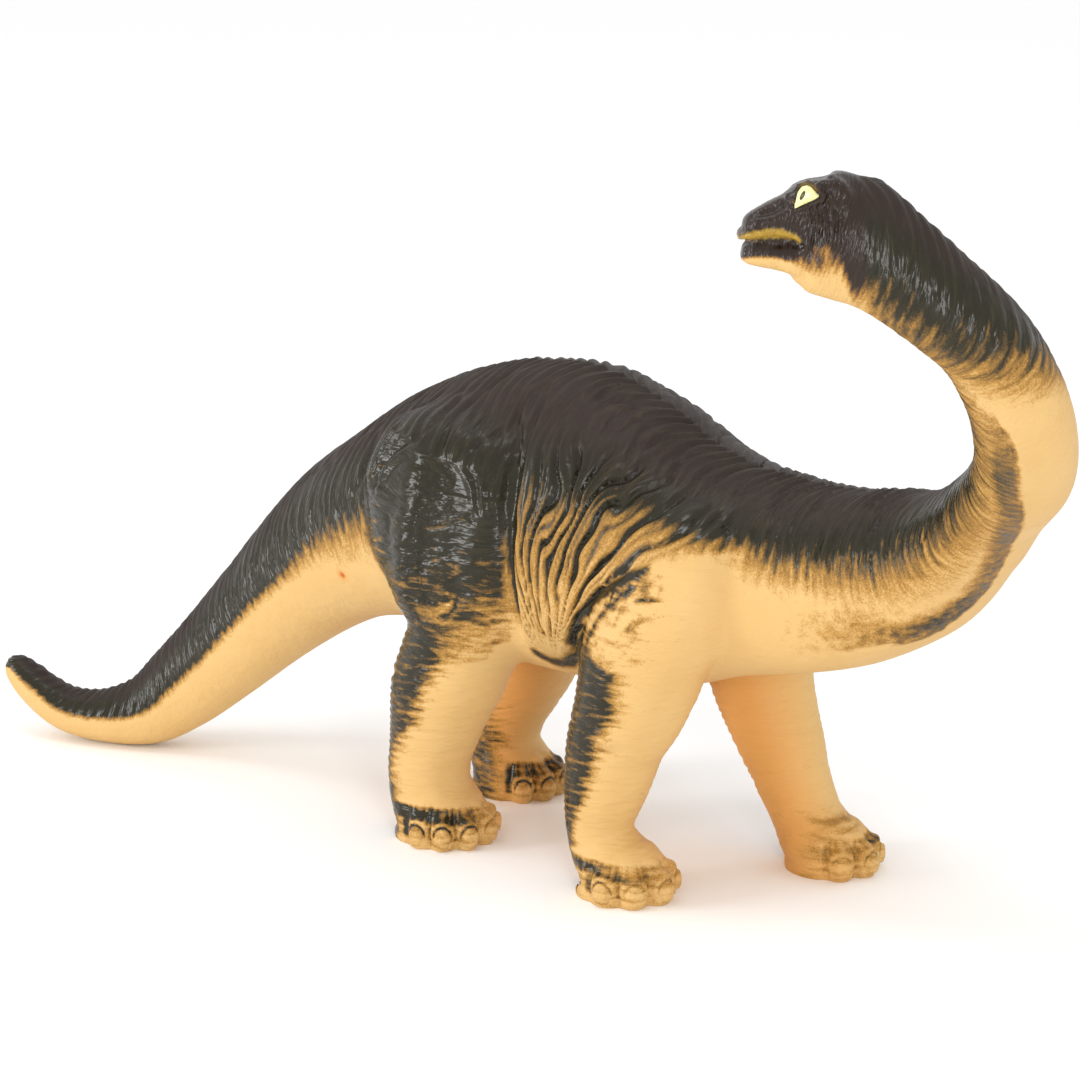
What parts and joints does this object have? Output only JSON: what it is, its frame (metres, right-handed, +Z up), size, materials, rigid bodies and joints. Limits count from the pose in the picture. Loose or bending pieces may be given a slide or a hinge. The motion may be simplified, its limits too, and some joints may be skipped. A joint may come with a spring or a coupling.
{
  "type": "toy sauropod dinosaur figure",
  "caption": "Standing soft vinyl long-necked dinosaur figure with its neck turned back to look over its shoulder and its tail held clear of the ground.",
  "frame": {"origin": "bottom centre of the figure's box, on the floor that the four soles stand on", "axes": "+X along the body towards the chest, which is also the longest way, +Y towards the animal's left side, +Z up"},
  "size_m": [0.3274, 0.1308, 0.19],
  "materials": {
    "skin": "soft cream vinyl with dark brown paint sprayed over the back, half gloss on the paint",
    "eye_paint": "pale yellow enamel with a small dark pupil"
  },
  "bodies": {
    "root": {"tail_tip": "skin", "tail_middle": "skin", "tail_base": "skin", "torso": "skin", "neck_lower": "skin", "neck_middle": "skin", "neck_upper": "skin", "head": "skin", "lower_jaw": "skin", "eye_left": "eye_paint", "eye_right": "eye_paint", "thigh_right": "skin", "shin_right": "skin", "hind_foot_right": "skin", "thigh_left": "skin", "shin_left": "skin", "hind_foot_left": "skin", "upper_arm_right": "skin", "forearm_right": "skin", "front_foot_right": "skin", "upper_arm_left": "skin", "forearm_left": "skin", "front_foot_left": "skin"}
  },
  "joints": []
}
